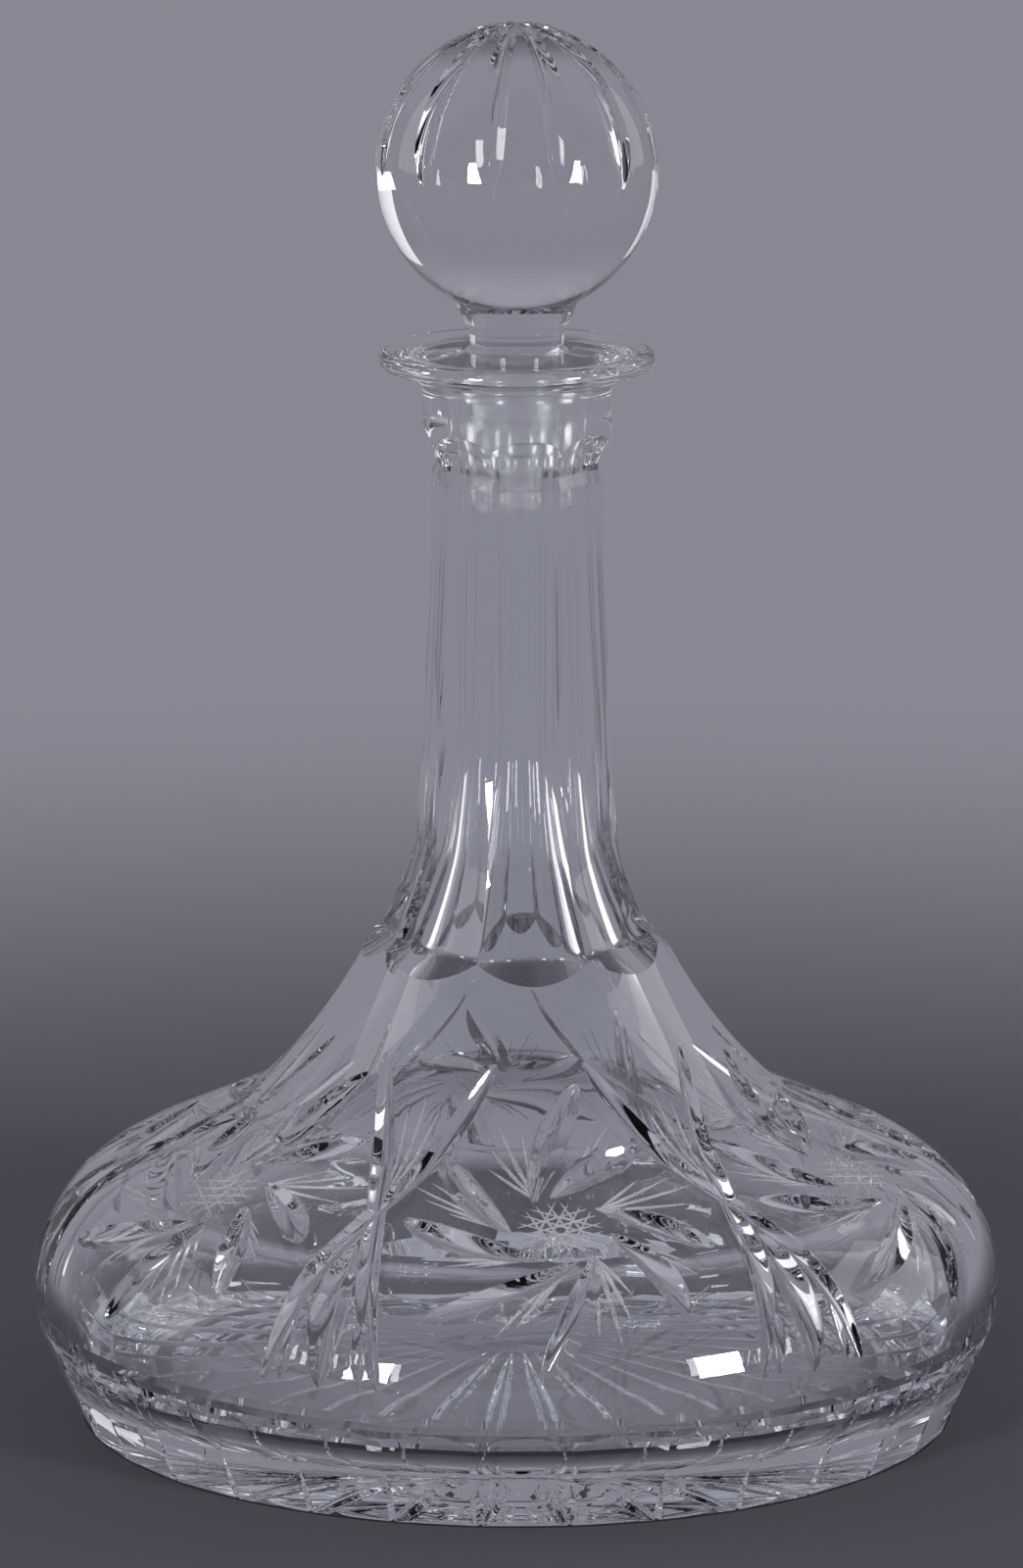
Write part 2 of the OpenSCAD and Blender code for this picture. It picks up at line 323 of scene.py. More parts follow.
bottleForm = {
    "segments": 192,
    "bodyRadius": min(bottleHigh.x, bottleHigh.y),
    "edgeHeight": 25 * mm,
    "edgeRadius": 28 * mm,
    "wallLean": 24,
    "shoulderSlope": 24.6,
    "flareRing": 53.5 * mm,
    "flareRadius": 105 * mm,
    "neckRadius": 18.3 * mm,
    "lipTop": bottleHigh.z,
    "lipRadius": 26.7 * mm,
    "lipThickness": 3.6 * mm,
    "lipHollow": 5.6 * mm,
    "bowlWall": 6 * mm,
    "floorThickness": 11 * mm,
    "floorReach": 66 * mm,  # radius at which the floor bends up into the wall
    "bendTurn": 2,  # bearing on the bowl's round where the bend to the floor begins
    "flareShift": 4 * mm,
    "pegEnd": stopperLow.z,
    "boreRadius": 7.94 * mm,
    "seatTaper": 2.4,
    "mouthEase": 1.4 * mm,
    "footEase": 0.8 * mm,
    "kick": 9.5 * mm,  # rise of the hollow under the foot
    "floorRise": 5 * mm,  # and of the bowl's floor above it
    "kickEdge": 5 * mm,
    "kickRows": 16,
    "floorRows": 12,
    "shoulderEase": 4 * mm,  # rounding where the shoulder meets the flare
    "innerEase": 6 * mm,
    "mouthFlare": 0.8,
    "mouthRound": 0.6 * mm,
    "seatBand": 2.4 * mm,  # faces this close to the bore are the ground seat
}
bf = bottleForm
slope = math.radians(bf["shoulderSlope"])
edgeCentre = Vector((bf["bodyRadius"] - bf["edgeRadius"], bf["edgeHeight"]))
wallTop = edgeCentre + bf["edgeRadius"] * turned(-bf["wallLean"])
footRadius = wallTop.x - wallTop.y * math.tan(math.radians(bf["wallLean"]))
capFoot = edgeCentre + bf["edgeRadius"] * turned(90 - bf["shoulderSlope"])
kickRadius = footRadius - bf["kickEdge"]


def underHeight(radius):
    return bf["kick"] * max(0.0, 1 - (radius / kickRadius) ** 2)


def ringOnSlope(foot, radius):
    return Vector((radius, foot.y + (foot.x - radius) * math.tan(slope)))


def flareCentre(ring, neck):
    across = neck + bf["flareRadius"]
    return Vector((across, ring.y + math.sqrt(bf["flareRadius"] ** 2 - (across - ring.x) ** 2)))


def bearingOf(point, centre):
    return math.degrees(math.atan2(point.y - centre.y, point.x - centre.x)) % 360


flareRing = ringOnSlope(capFoot, bf["flareRing"])
flareMiddle = flareCentre(flareRing, bf["neckRadius"])
flareStart = bearingOf(flareRing, flareMiddle)
capLength = (flareRing - capFoot).length


def bottleOutline():
    rim = bf["lipThickness"] / 2
    lipUnder = bf["lipTop"] - bf["lipThickness"]
    hollow = Vector((bf["neckRadius"] + bf["lipHollow"], lipUnder - bf["lipHollow"]))
    rimCentre = Vector((bf["lipRadius"] - rim, bf["lipTop"] - rim))
    radii = [kickRadius * i / bf["kickRows"] for i in range(bf["kickRows"] + 1)]
    outside = [Vector((radius, underHeight(radius))) for radius in radii]
    outside.append(Vector((footRadius, 0)))
    foot = len(outside) - 1
    outside += linePoints((footRadius, 0), wallTop, rows=3)[1:]
    outside = softenCorner(outside, foot, bf["footEase"], rows=4)
    outside += arcPoints(edgeCentre, bf["edgeRadius"], -bf["wallLean"], 90 - bf["shoulderSlope"], rows=28)
    shoulder = linePoints(capFoot, flareRing, rows=10)
    corner = len(shoulder) - 1
    shoulder += arcPoints(flareMiddle, bf["flareRadius"], flareStart, 180, rows=36)[1:]
    outside += softenCorner(shoulder, corner, bf["shoulderEase"], rows=6)
    outside += linePoints((bf["neckRadius"], flareMiddle.y), (bf["neckRadius"], hollow.y), rows=5)
    outside += arcPoints(hollow, bf["lipHollow"], 180, 90, rows=10)
    outside += arcPoints(rimCentre, rim, -90, 90, rows=12)
    return outside


def hollowOutline():
    inner = bf["edgeRadius"] - bf["bowlWall"]
    innerCapFoot = edgeCentre + inner * turned(90 - bf["shoulderSlope"])
    innerRing = ringOnSlope(innerCapFoot, bf["flareRing"] - bf["flareShift"])
    innerMiddle = flareCentre(innerRing, bf["boreRadius"])
    seat = math.tan(math.radians(bf["seatTaper"]))
    seatTop = bf["lipTop"] - bf["mouthEase"]
    seatRadius = bf["boreRadius"] + (seatTop - bf["pegEnd"]) * seat
    mouth = Vector((seatRadius + bf["mouthFlare"] * bf["mouthEase"], bf["lipTop"]))
    inside = linePoints((bf["lipRadius"] - bf["lipThickness"], bf["lipTop"]), mouth, rows=3)
    corner = len(inside) - 1
    inside += linePoints(mouth, (seatRadius, seatTop), rows=2)[1:]
    inside = softenCorner(inside, corner, bf["mouthRound"], rows=4)
    inside += linePoints((seatRadius, seatTop), (bf["boreRadius"], bf["pegEnd"]), rows=3)
    inside += linePoints((bf["boreRadius"], bf["pegEnd"]), (bf["boreRadius"], innerMiddle.y), rows=4)
    flare = arcPoints(innerMiddle, bf["flareRadius"], 180, bearingOf(innerRing, innerMiddle), rows=32)
    corner = len(flare) - 1
    flare += linePoints(innerRing, innerCapFoot, rows=6)[1:]
    inside += softenCorner(flare, corner, bf["innerEase"], rows=8)
    bowl = arcPoints(edgeCentre, inner, 90 - bf["shoulderSlope"], bf["bendTurn"], rows=22)
    down = turned(bf["bendTurn"] - 90)
    corner = bowl[-1] + down * (bowl[-1].y - bf["floorThickness"]) / -down.y
    floorEdge = Vector((bf["floorReach"], bf["floorThickness"]))
    bowl += bendPoints(bowl[-1], corner, floorEdge, rows=16)[1:]
    for i in range(1, bf["floorRows"] + 1):
        share = 1 - i / bf["floorRows"]
        rise = (1 - share * share) ** 2 * bf["floorRise"]
        bowl.append(Vector((share * floorEdge.x, floorEdge.y + rise)))
    return inside + bowl


bottle = spinOutline("bottleGlass", bottleOutline() + hollowOutline(), bf["segments"])
bottle.data.materials.append(clearGlass)
bottle.data.materials.append(greyCut)
bottle.data.materials.append(groundGlass)
groundPlace = len(bottle.data.materials) - 1
for face in bottle.data.polygons:
    inBore = face.center.xy.length < bf["boreRadius"] + bf["seatBand"]
    if inBore and bf["pegEnd"] < face.center.z < bf["lipTop"] - bf["mouthEase"]:
        face.material_index = groundPlace


def triangleCount(piece):
    return sum(len(face.vertices) - 2 for face in piece.data.polygons)


print("bottle blank spun", triangleCount(bottle))

# flat panels ground round the foot

panelForm = {"count": 32, "depth": 0.8 * mm, "weld": 0.000001}


def grindPanels():
    makeActive(bottle)
    bpy.ops.object.mode_set(mode="EDIT")
    lean = math.radians(bf["wallLean"])
    for i in range(panelForm["count"]):
        turn = math.tau * (i + 0.5) / panelForm["count"]
        outward = Vector((math.sin(turn), -math.cos(turn), 0))
        bpy.ops.mesh.select_all(action="SELECT")
        bpy.ops.mesh.bisect(
            plane_co=outward * (footRadius - panelForm["depth"]),
            plane_no=outward * math.cos(lean) - Vector((0, 0, math.sin(lean))),
            use_fill=True,
            clear_outer=True,
            threshold=panelForm["weld"],
        )
    bpy.ops.object.mode_set(mode="OBJECT")


grindPanels()
print("foot panels ground", triangleCount(bottle))

# hollow flutes down the neck

fluteForm = {
    "count": 8,
    "radius": 30 * mm,
    "topRadius": 10 * mm,
    "depth": 3.9 * mm,
    "lean": 2.7,
    "bandLength": 15 * mm,
    "endRise": 29.5 * mm,
    "flareDepth": 3.0 * mm,  # depth below the flare
    "endDepth": 4.8 * mm,  # and at the lower end
    "ledge": 4.2 * mm,  # height of the steep face that ends each flute
    "halfSpan": 34,
    "columns": 48,
    "rows": 40,
    "topTurn": 122,  # bearing at which the rounded top starts
    "endOver": 0.5,  # share by which the ledge runs past the surface
    "ledgeEase": 1.2 * mm,
    "reach": 60 * mm,
}


def flareOut(height):
    if height > flareMiddle.y:
        return bf["neckRadius"]
    return flareMiddle.x - math.sqrt(bf["flareRadius"] ** 2 - (flareMiddle.y - height) ** 2)


def fluteRows():  # the flute's floor as (radius, height), from the band down
    ff = fluteForm
    floor = bf["neckRadius"] - ff["depth"]
    top = ff["topRadius"]
    run = math.sqrt(top ** 2 - (top - ff["depth"]) ** 2)
    high = bf["lipTop"] - ff["bandLength"] - run
    low = flareRing.y + ff["endRise"]
    ledge = low + ff["ledge"]
    rows = arcPoints((floor + top, high), top, ff["topTurn"], 180, rows=16)
    for i in range(1, ff["rows"] + 1):
        height = high + (ledge - high) * i / ff["rows"]
        straight = floor + (high - height) * math.tan(math.radians(ff["lean"]))
        share = min(1.0, max(0.0, (flareMiddle.y - height) / (flareMiddle.y - ledge)))
        deep = ff["flareDepth"] + share * (ff["endDepth"] - ff["flareDepth"])
        rows.append(Vector((max(straight, flareOut(height) - deep), height)))
    corner = len(rows) - 1
    end = Vector((flareOut(low), low))
    rows += linePoints(rows[-1], end + (end - rows[-1]) * ff["endOver"], rows=6)[1:]
    return softenCorner(rows, corner, ff["ledgeEase"], rows=4)


def fluteTool():
    ff = fluteForm
    rows = fluteRows()
    clearSelection()
    bpy.ops.mesh.primitive_grid_add(
        x_subdivisions=ff["columns"], y_subdivisions=len(rows) - 1, size=2, location=(0, 0, 0),
    )
    tool = bpy.context.object
    for vertex in tool.data.vertices:
        row = rows[round((vertex.co.y + 1) / 2 * (len(rows) - 1))]
        arc = ff["radius"] * turned(vertex.co.x * ff["halfSpan"])
        vertex.co = (arc.y, arc.x - ff["radius"] - row.x, row.y)
    bpy.ops.object.mode_set(mode="EDIT")
    bpy.ops.mesh.select_all(action="SELECT")
    bpy.ops.mesh.extrude_region_move(TRANSFORM_OT_translate={"value": (0, -ff["reach"], 0)})
    bpy.ops.mesh.select_all(action="SELECT")
    bpy.ops.mesh.normals_make_consistent(inside=False)
    bpy.ops.object.mode_set(mode="OBJECT")
    return tool


for first in (0, 1):
    tool = ringOf(fluteTool(), fluteForm["count"] // 2, first * 360 / fluteForm["count"])
    cutAway(bottle, tool, clearGlass)
print("neck flutes cut", triangleCount(bottle))


# places on the shoulder, across from a bearing and up its run from the rounded edge

def runPoint(run):
    if run < 0:
        return edgeCentre + bf["edgeRadius"] * runNormal(run)
    if run < capLength:
        return capFoot + run * turned(180 - bf["shoulderSlope"])
    return flareMiddle - bf["flareRadius"] * runNormal(run)


def runNormal(run):
    if run < 0:
        return turned(90 - bf["shoulderSlope"] + math.degrees(run / bf["edgeRadius"]))
    if run < capLength:
        return turned(90 - bf["shoulderSlope"])
    return -turned(flareStart - math.degrees((run - capLength) / bf["flareRadius"]))


def around(point, turn):
    return Vector((point.x * math.sin(turn), -point.x * math.cos(turn), point.y))


def shoulderStroke(bearing, start, end, look, bow=0.0):
    along = end - start
    aside = Vector((-along.y, along.x)) * bow
    places, normals = [], []
    for share in strokeShares(look["rows"]):
        at = start + share * along + 4 * share * (1 - share) * aside
        turn = math.radians(bearing) + at.x / runPoint(at.y).x
        places.append(around(runPoint(at.y), turn))
        normals.append(around(runNormal(at.y), turn))
    return strokeTool(places, normals, look)


# pinwheels: each blade has its tip's bearing about the hub, its reach in mm and its start's bearing

pinwheelForm = {
    "count": 6,
    "rise": 8.2 * mm,
    "hubRing": 9.4 * mm,
    "blades": [
        (79, 37.5, 118), (134, 29.5, 186), (176, 30, 244), (219, 36.5, 286),
        (260, 34.5, 310), (314, 32.5, 352), (344, 31, 40), (52, 28, 96),
    ],
    "bladeBow": 0.05,
    "blade": {
        "section": roundedCut, "rows": 16, "depth": 1.9 * mm, "halfAngle": 59.5,
        "peak": 0.6, "rise": 0.8, "fall": 0.6,
    },
    "fanShares": [0.24, 0.38, 0.52, 0.66, 0.8],
    "fanReach": [0.7, 0.88, 0.97, 0.86, 0.7],
    "fanLength": 31 * mm,
    "fanLead": 6,
    "fanLine": {
        "section": pointedCut, "rows": 6, "depth": 0.2 * mm, "halfAngle": 65,
        "peak": 0.35, "rise": 0.6, "fall": 0.9,
    },
    "hubTurns": [20, 65, 110, 155],
    "hubLines": 4,
    "hubGap": 2.4 * mm,
    "hubReach": 8.6 * mm,
    "hubLine": {
        "section": pointedCut, "rows": 5, "depth": 0.13 * mm, "halfAngle": 65,
        "peak": 0.5, "rise": 0.5, "fall": 0.5,
    },
}
hub = Vector((0, pinwheelForm["rise"]))


def ringCut(tools, finish):  # one pass of the wheel, at six places round the shoulder
    cutAway(bottle, ringOf(joinPieces(tools), pinwheelForm["count"]), finish)


def cutBlades():
    pf = pinwheelForm
    for tip, reach, first in pf["blades"]:
        start = hub + pf["hubRing"] * turned(first)
        end = hub + reach * mm * turned(tip)
        ringCut([shoulderStroke(0, start, end, pf["blade"], pf["bladeBow"])], clearGlass)


def cutFans():
    pf = pinwheelForm
    blades = pf["blades"]
    for share, length in zip(pf["fanShares"], pf["fanReach"]):
        tools = []
        for blade, after in zip(blades, blades[1:] + blades[:1]):
            gap = (after[0] - blade[0]) % 360
            root = hub + pf["hubRing"] * turned(blade[2] - pf["fanLead"])
            tip = hub + pf["fanLength"] * length * turned(blade[0] + share * gap)
            tools.append(shoulderStroke(0, root, tip, pf["fanLine"]))
        ringCut(tools, greyCut)


def cutHubs():
    pf = pinwheelForm
    for turn in pf["hubTurns"]:
        tools = []
        for i in range(pf["hubLines"]):
            off = (i - (pf["hubLines"] - 1) / 2) * pf["hubGap"]
            half = math.sqrt(pf["hubReach"] ** 2 - off ** 2)
            middle = hub + off * turned(turn + 90)
            arm = half * turned(turn)
            tools.append(shoulderStroke(0, middle - arm, middle + arm, pf["hubLine"]))
        ringCut(tools, greyCut)


# crossed cuts between the pinwheels, with leaves below and fine lines above

crossForm = {
    "top": capLength + 22 * mm,
    "foot": -29 * mm,
    "middle": 12.7 * mm,
    "spread": 11.8 * mm,
    "lap": 8 * mm,
    "lapShare": 0.28,
    "stroke": {
        "section": roundedCut, "rows": 22, "depth": 1.5 * mm, "halfAngle": 57,
        "peak": 0.5, "rise": 0.45, "fall": 0.45,
    },
    "leafTop": 2 * mm,
    "leafFoot": -29.5 * mm,
    "leaf": {
        "section": roundedCut, "rows": 17, "depth": 2.2 * mm, "halfAngle": 60,
        "peak": 0.55, "rise": 0.8, "fall": 0.7,
    },
    "sideLeaf": {
        "section": roundedCut, "rows": 10, "depth": 0.95 * mm, "halfAngle": 60,
        "peak": 0.5, "rise": 0.7, "fall": 0.7,
    },
    "line": {
        "section": pointedCut, "rows": 7, "depth": 0.2 * mm, "halfAngle": 65,
        "peak": 0.35, "rise": 0.6, "fall": 0.9,
    },
    "sideTop": (6.8 * mm, -16 * mm),
    "sideFoot": (8.2 * mm, -28.5 * mm),
    "lineRoot": 17,  # run at which the lines start, in mm, as are their tips
    "lineGather": 0.1,
    "lineTips": [(-6.2, 33), (-3.2, 39), (0, 42), (3.2, 39), (6.2, 33)],
}
between = 180 / pinwheelForm["count"]


def cutCrosses():
    cf = crossForm
    for hand in (1, -1):
        lap = hand * cf["lap"] * cf["lapShare"]
        upper = (Vector((hand * cf["spread"], cf["top"])), Vector((-lap, cf["middle"] - cf["lap"])))
        lower = (Vector((lap, cf["middle"] + cf["lap"])), Vector((-hand * cf["spread"], cf["foot"])))
        for start, end in (upper, lower):
            ringCut([shoulderStroke(between, start, end, cf["stroke"])], clearGlass)


def cutCrossLeaves():
    cf = crossForm
    leafTop, leafFoot = Vector((0, cf["leafTop"])), Vector((0, cf["leafFoot"]))
    ringCut([shoulderStroke(between, leafTop, leafFoot, cf["leaf"])], clearGlass)
    sides = []
    for hand in (1, -1):
        start = Vector((hand * cf["sideTop"][0], cf["sideTop"][1]))
        end = Vector((hand * cf["sideFoot"][0], cf["sideFoot"][1]))
        sides.append(shoulderStroke(between, start, end, cf["sideLeaf"]))
    ringCut(sides, clearGlass)
    for across, run in cf["lineTips"]:
        start = Vector((cf["lineGather"] * across, cf["lineRoot"])) * mm
        ringCut([shoulderStroke(between, start, Vector((across, run)) * mm, cf["line"])], greyCut)


# rays cut under the foot, and a mitre up each seam of its panels

rayForm = {
    "count": 32,
    "inner": 12 * mm,
    "outer": 87 * mm,
    "cut": {
        "section": roundedCut, "rows": 10, "depth": 1.3 * mm, "halfAngle": 60,
        "peak": 0.6, "rise": 0.8, "fall": 0.4,
    },
}
seamForm = {
    "low": -1.6 * mm,
    "high": 9 * mm,
    "cut": {
        "section": pointedCut, "rows": 6, "depth": 0.5 * mm, "halfAngle": 60,
        "peak": 0.3, "rise": 0.5, "fall": 0.9,
    },
}


def cutRays():
    places, normals = [], []
    for share in strokeShares(rayForm["cut"]["rows"]):
        radius = rayForm["inner"] + share * (rayForm["outer"] - rayForm["inner"])
        places.append(Vector((0, -radius, underHeight(radius))))
        steep = 2 * bf["kick"] * radius / kickRadius ** 2 if radius < kickRadius else 0.0
        normals.append(Vector((0, steep, -1)).normalized())
    tool = strokeTool(places, normals, rayForm["cut"])
    cutAway(bottle, ringOf(tool, rayForm["count"]), clearGlass)


def cutSeams():
    lean = math.radians(bf["wallLean"])
    ridge = (footRadius - panelForm["depth"]) / math.cos(math.pi / panelForm["count"])
    places = []
    for share in strokeShares(seamForm["cut"]["rows"]):
        height = seamForm["low"] + share * (seamForm["high"] - seamForm["low"])
        places.append(Vector((0, -ridge - height * math.tan(lean), height)))
    normal = Vector((0, -math.cos(lean), -math.sin(lean)))
    tool = strokeTool(places, [normal] * len(places), seamForm["cut"])
    cutAway(bottle, ringOf(tool, panelForm["count"]), clearGlass)


cutBlades()
print("pinwheel blades cut", triangleCount(bottle))
cutCrosses()
cutCrossLeaves()
print("crossed cuts made", triangleCount(bottle))
cutFans()
cutHubs()
print("fine lines cut", triangleCount(bottle))
cutRays()
cutSeams()
print("foot cut", triangleCount(bottle))

# shading

smoothForm = {
    "cutAngle": 19,
    "seamAngle": 7,
    "crispHeight": 24 * mm,
    "crispBand": 2.5 * mm,
}


def smoothCuts(piece, crispBelow=0.0, crispBeyond=0.0):  # soft rims on the cuts, crisp seams on the foot
    makeActive(piece)
    bpy.ops.object.shade_smooth_by_angle(angle=math.radians(smoothForm["cutAngle"]))
    bpy.ops.object.mode_set(mode="EDIT")
    bpy.ops.mesh.select_mode(type="EDGE")
    bpy.ops.mesh.select_all(action="DESELECT")
    bpy.ops.mesh.edges_select_sharp(sharpness=math.radians(smoothForm["seamAngle"]))
    bpy.ops.object.mode_set(mode="OBJECT")
    points = piece.data.vertices
    for edge in piece.data.edges:
        ends = [points[i].co for i in edge.vertices]
        if max(end.z for end in ends) > crispBelow or min(end.xy.length for end in ends) < crispBeyond:
            edge.select = False
    bpy.ops.object.mode_set(mode="EDIT")
    bpy.ops.mesh.mark_sharp()
    bpy.ops.mesh.select_mode(type="VERT")
    bpy.ops.object.mode_set(mode="OBJECT")
    bpy.ops.object.modifier_add(type="WEIGHTED_NORMAL")
    piece.modifiers[-1].keep_sharp = True
    bpy.ops.object.modifier_apply(modifier=piece.modifiers[-1].name)


smoothCuts(bottle, smoothForm["crispHeight"], footRadius - smoothForm["crispBand"])
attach(bottle, "decanter")
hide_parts("decanter")

# the stopper

stopperForm = {
    "segments": 240,
    "ballRadius": stopperHigh.x,
    "ballHeight": 57.2 * mm,
    "top": stopperHigh.z,
    "collarRadius": 12 * mm,
    "collarFoot": 10.3 * mm,
    "pegTop": 216.5 * mm,
    "pegEnd": stopperLow.z,
    "pegRadius": 9.3 * mm,
    "pegTaper": 2.4,
    "pegEase": 0.5 * mm,
    "groundFoot": 0.6 * mm,  # the ground band stops short of the peg's end
    "groundTop": 1 * mm,  # and of the lip
    "turn": 12,
    "leaves": 12,
    "leafHigh": 86,
    "leafLow": 0,
    "leaf": {
        "section": roundedCut, "rows": 34, "depth": 2.0 * mm, "halfAngle": 57,
        "peak": 0.78, "rise": 0.85, "fall": 0.62,
    },
}
sf = stopperForm
ballRadius = sf["ballRadius"]
ballAcross = ((sf["ballHeight"] / 2) ** 2 - ballRadius ** 2) / (2 * ballRadius)
ballArc = ballRadius + ballAcross
ballMiddle = Vector((-ballAcross, sf["top"] - sf["ballHeight"] / 2))


def stopperOutline():
    pegFoot = sf["pegRadius"] - (sf["pegTop"] - sf["pegEnd"]) * math.tan(math.radians(sf["pegTaper"]))
    collarTurn = -math.degrees(math.acos((sf["collarRadius"] + ballAcross) / ballArc))
    poleTurn = math.degrees(math.acos(ballAcross / ballArc))
    collar = ballMiddle + ballArc * turned(collarTurn)
    outline = linePoints((0, sf["pegEnd"]), (pegFoot, sf["pegEnd"]), rows=4)
    corner = len(outline) - 1
    outline += linePoints((pegFoot, sf["pegEnd"]), (sf["pegRadius"], sf["pegTop"]), rows=16)[1:]
    outline = softenCorner(outline, corner, sf["pegEase"], rows=3)
    outline += linePoints((sf["pegRadius"], sf["pegTop"]), (sf["collarFoot"], sf["pegTop"]), rows=1)
    outline += linePoints((sf["collarFoot"], sf["pegTop"]), collar, rows=6)
    outline += arcPoints(ballMiddle, ballArc, collarTurn, poleTurn, rows=70)
    outline[-1].x = 0
    return outline


def ballPlace(latitude):
    point = ballMiddle + ballArc * turned(latitude)
    return Vector((0, -point.x, point.y))


def cutLeaves():
    look = sf["leaf"]
    places, normals = [], []
    for share in strokeShares(look["rows"]):
        latitude = sf["leafHigh"] + share * (sf["leafLow"] - sf["leafHigh"])
        places.append(ballPlace(latitude))
        normals.append(Vector((0, -turned(latitude).x, turned(latitude).y)))
    for i in range(sf["leaves"]):
        tool = strokeTool(places, normals, look)
        tool.rotation_euler.z = math.radians(sf["turn"] + 360 * i / sf["leaves"])
        makeActive(tool)
        bpy.ops.object.transform_apply(location=False, rotation=True, scale=False)
        cutAway(stopper, tool, clearGlass)


stopper = spinOutline("stopperGlass", stopperOutline(), sf["segments"])
stopper.data.materials.append(clearGlass)
stopper.data.materials.append(groundGlass)
for face in stopper.data.polygons:
    if sf["pegEnd"] + sf["groundFoot"] < face.center.z < bf["lipTop"] - sf["groundTop"]:
        face.material_index = len(stopper.data.materials) - 1
cutLeaves()
smoothCuts(stopper)
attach(stopper, "stopper")
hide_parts("stopper")
print("stopper made", triangleCount(stopper))

# floor, light and camera

stageForm = {
    "radius": 9.0,
    "drop": -0.0003,  # a hair of air under the foot
    # painted shade: the paper near the object is darker than the far tone
    "nearPaintedShade": (0.118, 0.115, 0.134, 1.0),
    "farTone": (0.25, 0.243, 0.292, 1.0),
    "highTone": (0.4, 0.392, 0.46, 1.0),
    "frontTone": (0.09, 0.088, 0.102, 1.0),  # the room behind the camera is dim
    "paintedUnderLight": (0.155, 0.152, 0.178, 1.0),  # painted light: the paper under the foot glows as if lit through the glass
    "paintedRimShadow": (0.02, 0.02, 0.024, 1.0),  # and a painted shadow darkens it round its rim
    # radius of the painted light under the foot, and where its painted rim shadow begins
    "paintedLightReach": 0.086,
    "rimShadowReach": 0.062,
    # the painted shade near the object fades into the far tone between these radii
    "nearReach": 0.16,
    "farReach": 0.7,
    "glassNear": 0.1,  # the painted shade near the object is narrower as seen through the glass, so the pale floor comes closer
    "glassFar": 0.28,
    "paperRough": 0.8,
    "paperShine": 0.1,
    "airLow": 0.25,
    "airHigh": 0.9,
    "frontStart": -0.1,
    "frontEnd": -0.5,
}


def makeFloor():
    clearSelection()
    bpy.ops.mesh.primitive_circle_add(
        vertices=128, radius=stageForm["radius"], fill_type="NGON", location=(0, 0, stageForm["drop"]),
    )
    floor = bpy.context.object
    floor.name = "studioFloor"
    # the paper carries painted shade near the object, and painted light with a painted rim shadow under
    # the foot
    material, tree, shader = newMaterial("studioPaper")
    # painted shade: the lit paper near the object has a darker colour than the far tone
    shader.inputs["Base Color"].default_value = stageForm["nearPaintedShade"]
    shader.inputs["Roughness"].default_value = stageForm["paperRough"]
    shader.inputs["Specular IOR Level"].default_value = stageForm["paperShine"]
    place = addNode(tree, "ShaderNodeTexCoord")
    measure = addNode(tree, "ShaderNodeVectorMath")
    measure.operation = "LENGTH"
    feed(tree, place.outputs["Object"], measure.inputs[0])
    reach = measure.outputs["Value"]
    seen = addNode(tree, "ShaderNodeLightPath")  # the far paper is a plain tone to the eye, not a lamp
    throughGlass = seen.outputs["Is Transmission Ray"]
    ends = []
    for plain, glass in (("nearReach", "glassNear"), ("farReach", "glassFar")):
        pale = addNode(tree, "ShaderNodeMapRange")
        pale.inputs["To Min"].default_value = stageForm[plain]
        pale.inputs["To Max"].default_value = stageForm[glass]
        feed(tree, throughGlass, pale.inputs["Value"])
        ends.append(pale.outputs["Result"])
    # painted shade near the object, fading out into the pale far tone
    fade = smoothFade(tree, reach, ends[0], ends[1])
    direct = addMath(tree, "ADD", seen.outputs["Is Camera Ray"], seen.outputs["Is Glossy Ray"])
    shown = addMath(tree, "ADD", direct, throughGlass, clamp=True)
    # painted light: inside this radius the paper glows in place of light through the glass
    under = addMath(tree, "LESS_THAN", reach, stageForm["paintedLightReach"])
    share = addMath(tree, "MAXIMUM", fade, under)
    # painted shadow: the glow darkens towards the foot's rim
    rim = smoothFade(tree, reach, stageForm["rimShadowReach"], stageForm["paintedLightReach"])
    below = mixTones(tree, rim, stageForm["paintedUnderLight"], stageForm["paintedRimShadow"])
    tone = mixTones(tree, under, stageForm["farTone"], below)
    far = addNode(tree, "ShaderNodeEmission")
    feed(tree, tone, far.inputs["Color"])
    feed(tree, shown, far.inputs["Strength"])
    blend = addNode(tree, "ShaderNodeMixShader")
    feed(tree, share, blend.inputs[0])
    feed(tree, shader.outputs["BSDF"], blend.inputs[1])
    feed(tree, far.outputs["Emission"], blend.inputs[2])
    feed(tree, blend.outputs["Shader"], tree.nodes["Material Output"].inputs["Surface"])
    floor.data.materials.append(material)


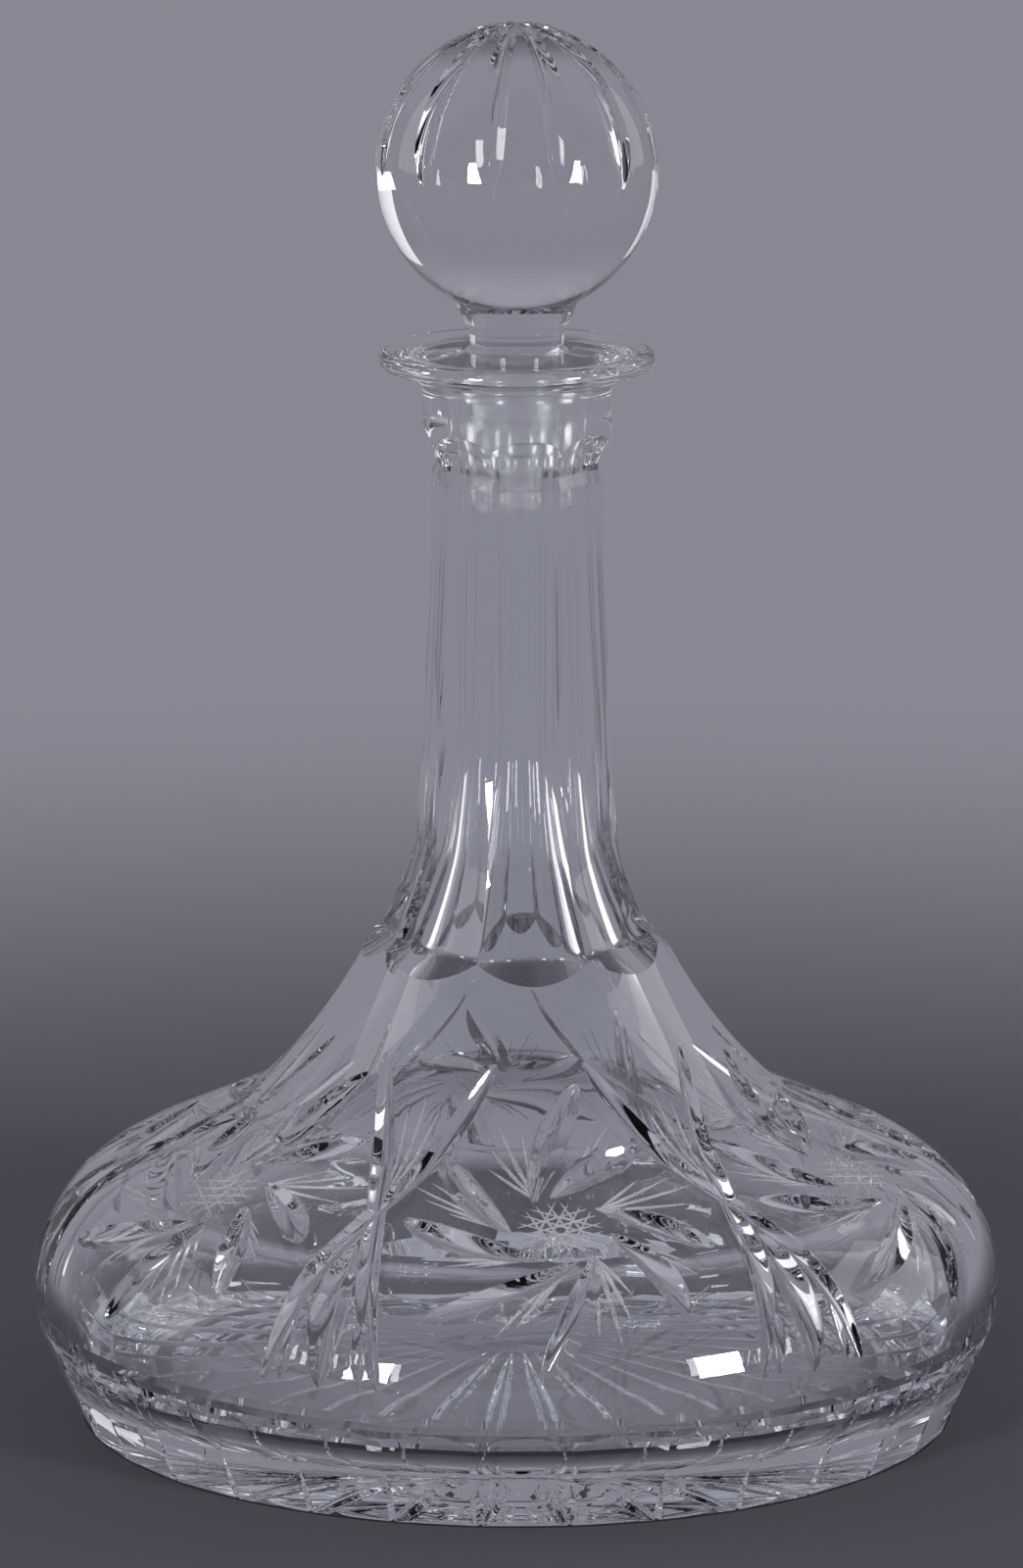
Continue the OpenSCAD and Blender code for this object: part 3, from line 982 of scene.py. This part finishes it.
def makeWorld():
    world = bpy.data.worlds.new("studioAir")
    bpy.context.scene.world = world
    world.use_nodes = True
    tree = world.node_tree
    place = addNode(tree, "ShaderNodeTexCoord")
    split = addNode(tree, "ShaderNodeSeparateXYZ")
    feed(tree, place.outputs["Generated"], split.inputs["Vector"])
    rise = smoothFade(tree, split.outputs["Z"], stageForm["airLow"], stageForm["airHigh"])
    tone = mixTones(tree, rise, stageForm["farTone"], stageForm["highTone"])
    front = smoothFade(tree, split.outputs["Y"], stageForm["frontStart"], stageForm["frontEnd"])
    whole = mixTones(tree, front, tone, stageForm["frontTone"])
    feed(tree, whole, tree.nodes["Background"].inputs["Color"])


lampForms = [
    {"name": "leftSoftbox", "place": (-1.31, -1.51, 0.36), "wide": 0.4, "tall": 0.52, "power": 28},
    {"name": "rightSoftbox", "place": (1.31, -1.51, 0.36), "wide": 0.4, "tall": 0.52, "power": 28},
    {"name": "leftCard", "place": (-1.7, 0.45, 0.75), "wide": 1.0, "tall": 1.3, "power": 3.6},
    {"name": "rightCard", "place": (1.7, 0.45, 0.75), "wide": 1.0, "tall": 1.3, "power": 3.6},
]
lampAim = Vector((0, 0, 0.1))


def makeLamps():
    for lf in lampForms:
        clearSelection()
        bpy.ops.object.light_add(type="AREA", location=lf["place"])
        lamp = bpy.context.object
        lamp.name = lf["name"]
        lamp.data.shape = "RECTANGLE"
        lamp.data.size = lf["wide"]
        lamp.data.size_y = lf["tall"]
        lamp.data.energy = lf["power"]
        lamp.rotation_euler = (lampAim - lamp.location).to_track_quat("-Z", "Y").to_euler()


cameraForm = {
    "distance": 1.85,
    "height": 0.535,
    "bearing": -6.7,
    "pitch": 12.5,
    "yaw": 0.032,  # the bottle stands a touch right of the frame's middle
    "lens": 223.0,
    "sensor": 36.0,
    "clip": 40.0,
}


def makeCamera():
    turn = math.radians(cameraForm["bearing"])
    place = Vector((math.sin(turn), -math.cos(turn), 0)) * cameraForm["distance"]
    place.z = cameraForm["height"]
    clearSelection()
    bpy.ops.object.camera_add(location=place)
    camera = bpy.context.object
    yaw = turn + math.radians(cameraForm["yaw"])
    camera.rotation_euler = (math.radians(90 - cameraForm["pitch"]), 0, yaw)
    camera.data.sensor_width = cameraForm["sensor"]
    camera.data.lens = cameraForm["lens"]
    camera.data.clip_end = cameraForm["clip"]
    bpy.context.scene.camera = camera


makeFloor()
makeWorld()
makeLamps()
makeCamera()
scene = bpy.context.scene
scene.view_settings.view_transform = "Standard"
scene.cycles.max_bounces = 24
scene.cycles.transmission_bounces = 24
scene.cycles.glossy_bounces = 10
print("stage, lamps and camera set")
